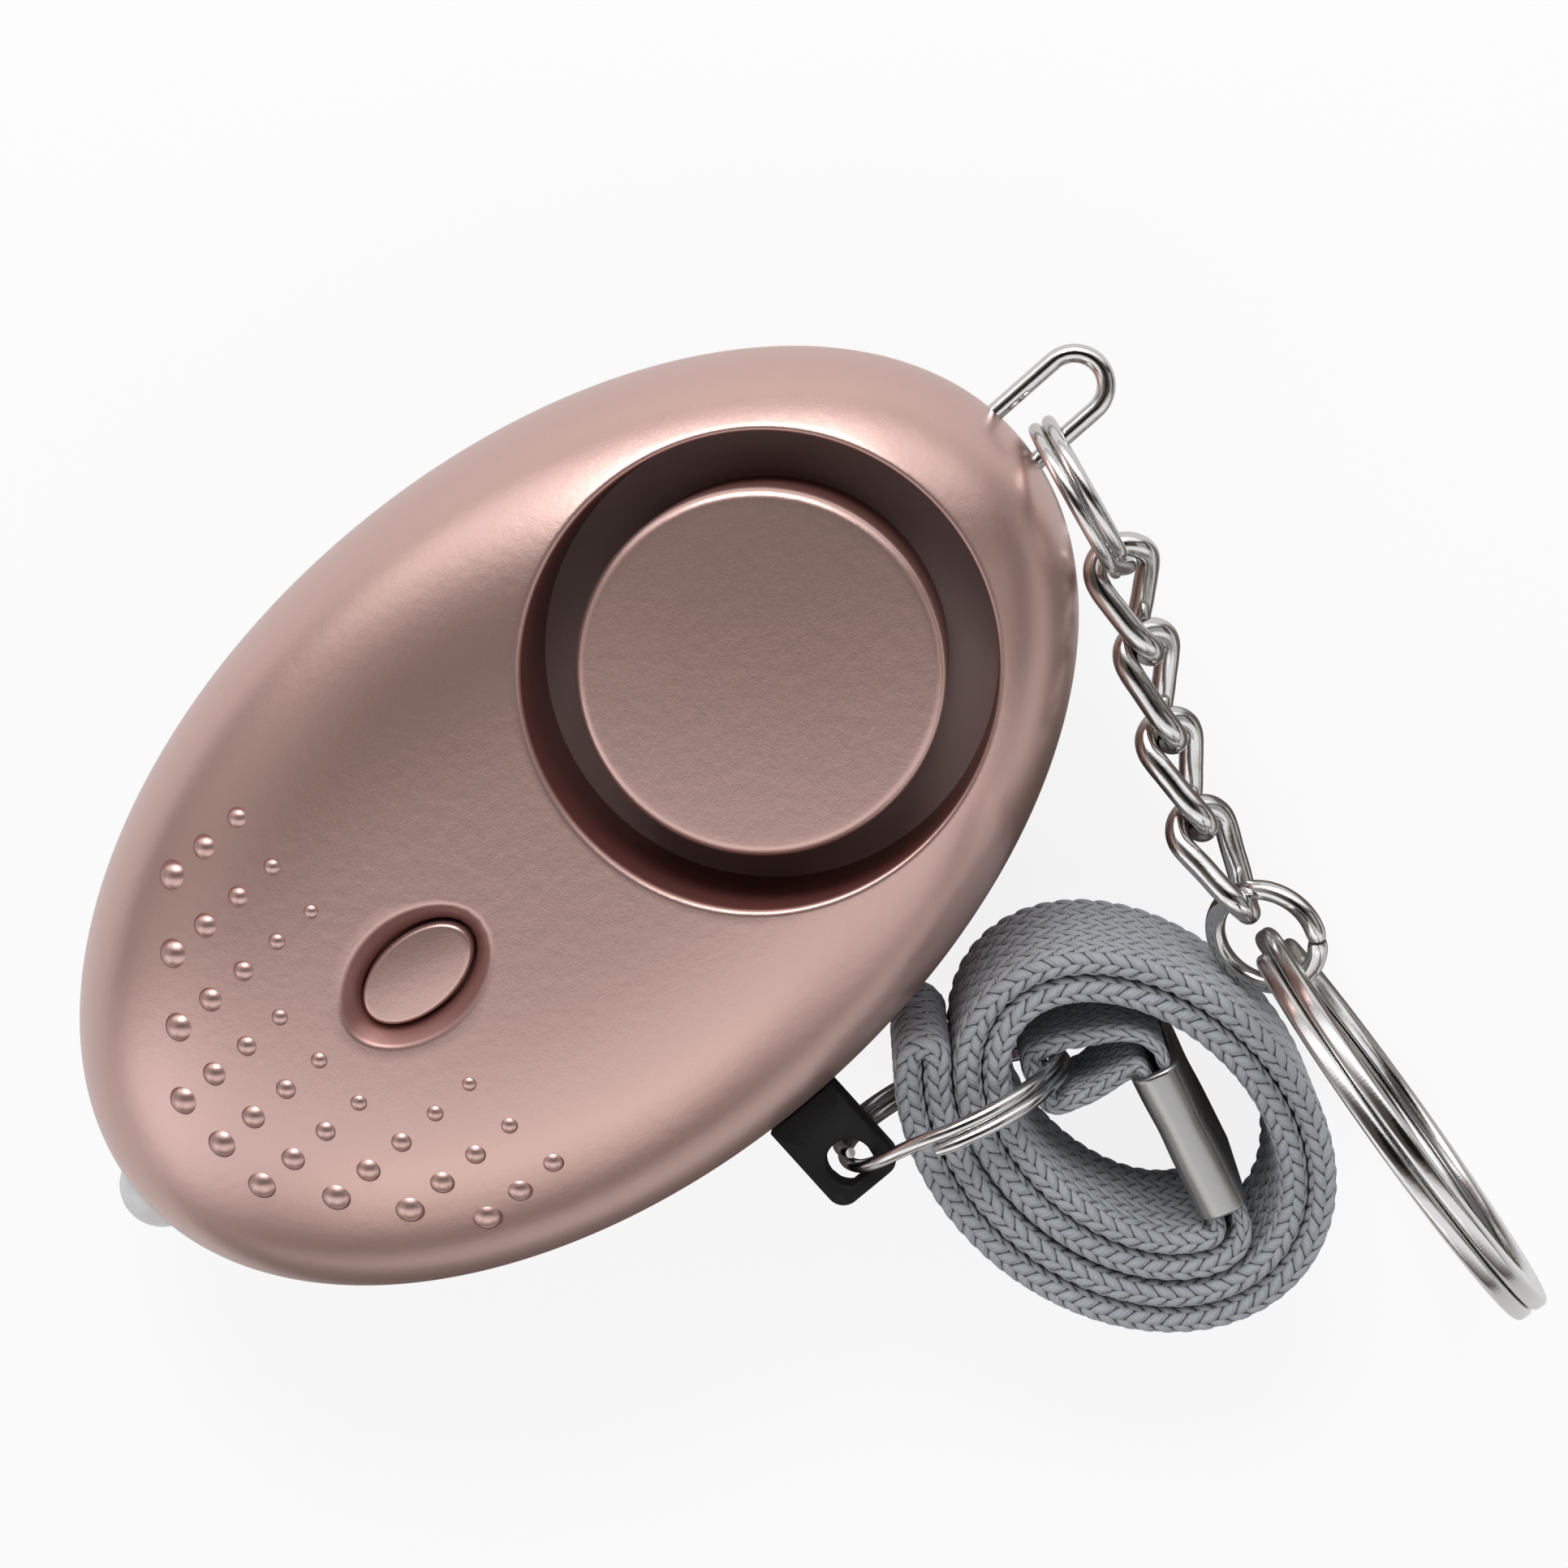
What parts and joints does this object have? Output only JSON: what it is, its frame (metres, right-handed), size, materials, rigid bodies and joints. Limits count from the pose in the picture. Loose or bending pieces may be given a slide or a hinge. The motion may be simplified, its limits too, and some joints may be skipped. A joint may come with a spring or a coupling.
{
  "type": "personal safety alarm",
  "caption": "Egg-shaped personal alarm with a round siren, push button, torch lamp, pull pin on a coiled wrist strap and a split key ring on a short chain.",
  "frame": {"origin": "centre of the flat back face that the body rests on", "axes": "+Z out of the front face, +X along the body toward the key loop, -Y toward the pull pin"},
  "size_m": [0.0728, 0.0737, 0.0248],
  "materials": {
    "rose_paint": "satin rose-gold paint on moulded plastic",
    "dark_plastic": "dull moulded",
    "black_plastic": "fine grained",
    "board": "lacquered",
    "ceramic": "fired",
    "brass": "bright",
    "steel": "satin",
    "nickel": "bright nickel plate",
    "clear": "clear epoxy",
    "braid": "flat braid"
  },
  "bodies": {
    "body": {"front_shell": "rose_paint", "back_shell": "rose_paint", "siren_cap": "rose_paint", "sounder_plate": "dark_plastic", "sounder_ring": "dark_plastic", "piezo_disc": "brass", "piezo_ceramic": "ceramic", "tact_switch": "dark_plastic", "circuit_board": "board", "boost_coil": "black_plastic", "driver_chip": "black_plastic", "cell_1": "steel", "cell_2": "steel", "cell_3": "steel", "cell_contact_1": "steel", "cell_contact_2": "steel", "cell_cradle": "black_plastic", "torch_led": "clear", "led_leads": "steel", "pin_socket": "dark_plastic", "pin_leaf_1": "brass", "pin_leaf_2": "brass", "key_loop": "nickel", "shell_screw_1": "steel", "shell_screw_2": "steel"},
    "button": {"push_button": "rose_paint", "switch_plunger": "black_plastic"},
    "pin": {"pull_pin": "black_plastic"},
    "pin_ring": {"pin_ring": "nickel"},
    "strap": {"wrist_strap": "braid", "strap_crimp": "steel"},
    "bail": {"bail_ring": "nickel"},
    "link_1": {"chain_link_1": "nickel"},
    "link_2": {"chain_link_2": "nickel"},
    "link_3": {"chain_link_3": "nickel"},
    "link_4": {"chain_link_4": "nickel"},
    "jump": {"jump_ring": "nickel"},
    "key_ring": {"key_ring": "nickel"}
  },
  "joints": [
    {"name": "button_press", "type": "slide", "parent": "body", "child": "button", "axis": [0, 0, -1], "range_m": [0, 0.0006], "stiffness_N_per_m": 1500},
    {"name": "pin_pull", "type": "slide", "parent": "body", "child": "pin", "axis": [0, -1, 0], "range_m": [0, 0.008]},
    {"name": "pin_ring_swing", "type": "hinge", "parent": "pin", "child": "pin_ring", "pos_m": [-0.0008, -0.0243, 0.0105], "axis": [0, 0, 1], "range_deg": [-20, 0]},
    {"name": "strap_tip", "type": "hinge", "parent": "pin_ring", "child": "strap", "pos_m": [-0.0008, -0.0243, 0.00749], "axis": [0.9548, -0.2974, 0], "range_deg": [-10, 0]},
    {"name": "bail_swing", "type": "hinge", "parent": "body", "child": "bail", "pos_m": [0.0335, -0.0017, 0.0105], "axis": [1, 0, 0], "range_deg": [-15, 15]},
    {"name": "link_1_swing", "type": "hinge", "parent": "bail", "child": "link_1", "pos_m": [0.03198, -0.00916, 0.01], "axis": [0, 0, 1], "range_deg": [0, 15]},
    {"name": "link_2_swing", "type": "hinge", "parent": "link_1", "child": "link_2", "pos_m": [0.02999, -0.01364, 0.00878], "axis": [0, 0, 1], "range_deg": [0, 20]},
    {"name": "link_3_swing", "type": "hinge", "parent": "link_2", "child": "link_3", "pos_m": [0.02772, -0.01828, 0.00814], "axis": [0, 0, 1], "range_deg": [0, 20]},
    {"name": "link_4_swing", "type": "hinge", "parent": "link_3", "child": "link_4", "pos_m": [0.02586, -0.02313, 0.00832], "axis": [0, 0, 1], "range_deg": [0, 20]},
    {"name": "jump_ring_swing", "type": "hinge", "parent": "link_4", "child": "jump", "pos_m": [0.02488, -0.02819, 0.00905], "axis": [0, 0, 1], "range_deg": [0, 15]},
    {"name": "key_ring_swing", "type": "hinge", "parent": "jump", "child": "key_ring", "pos_m": [0.02447, -0.03282, 0.00905], "axis": [0.9971, -0.0767, 0], "range_deg": [-15, 5]}
  ]
}
